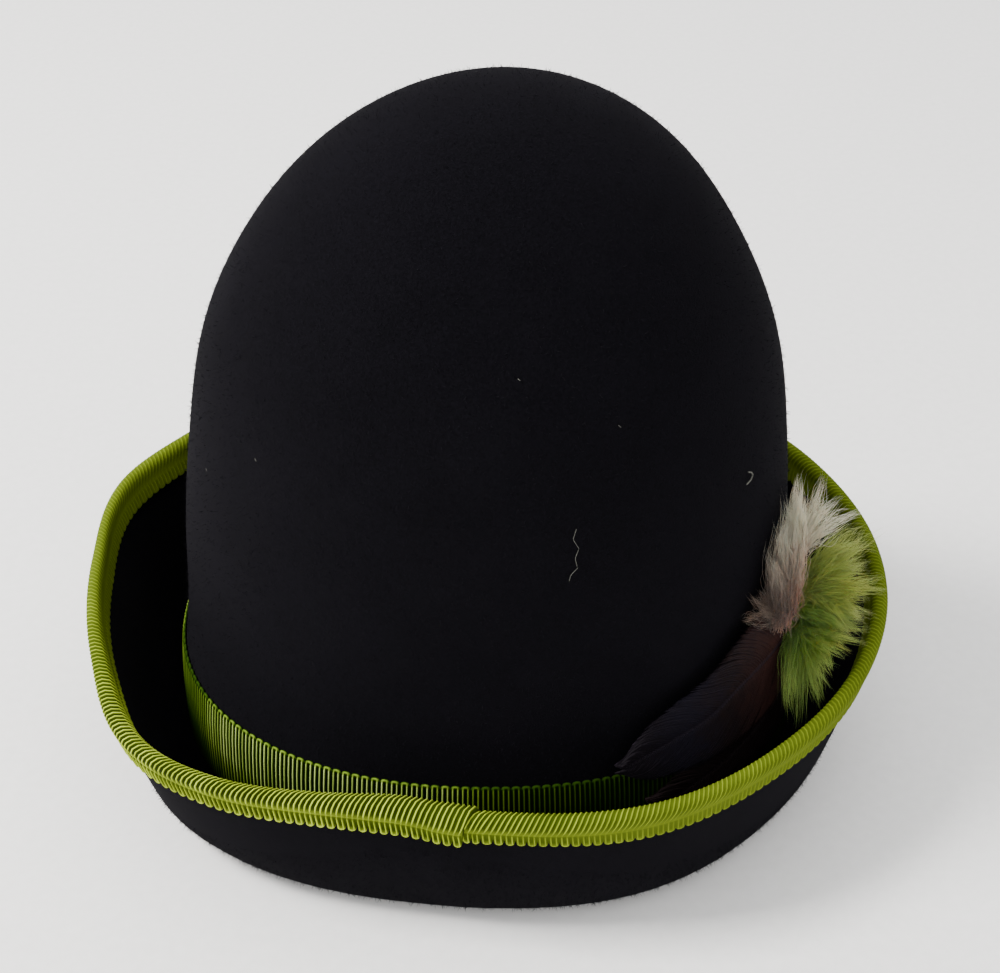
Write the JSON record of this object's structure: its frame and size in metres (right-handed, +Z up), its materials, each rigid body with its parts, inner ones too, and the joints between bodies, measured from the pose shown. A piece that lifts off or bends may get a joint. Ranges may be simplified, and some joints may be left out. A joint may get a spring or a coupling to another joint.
{
  "type": "felt hat with ribbon band and feathers",
  "caption": "Tall hat of blocked wool felt with a rolled brim, ribbed ribbon binding and band, and a bunch of feathers at one end.",
  "frame": {"origin": "on the plane that the brim rests on, under the middle of the whole hat's box", "axes": "+Z up through the crown, +X to the end with the feathers, -Y to the near long side with the lapped end of the binding"},
  "size_m": [0.2522, 0.199, 0.2219],
  "materials": {
    "wool_felt": "matt felt with a short nap",
    "ribbon": "ribbed, soft sheen",
    "brown_feather": "smooth, with a purple sheen",
    "dark_feather": "smooth",
    "grey_down": "downy",
    "lime_down": "downy",
    "green_down": "downy"
  },
  "bodies": {
    "root": {"felt_hat": "wool_felt", "brim_binding": "ribbon", "hat_band": "ribbon", "feather_pad": "wool_felt", "long_feather": "brown_feather", "under_feather": "dark_feather", "grey_down": "grey_down", "upper_green_plume": "lime_down", "lower_green_plume": "green_down"}
  },
  "joints": []
}
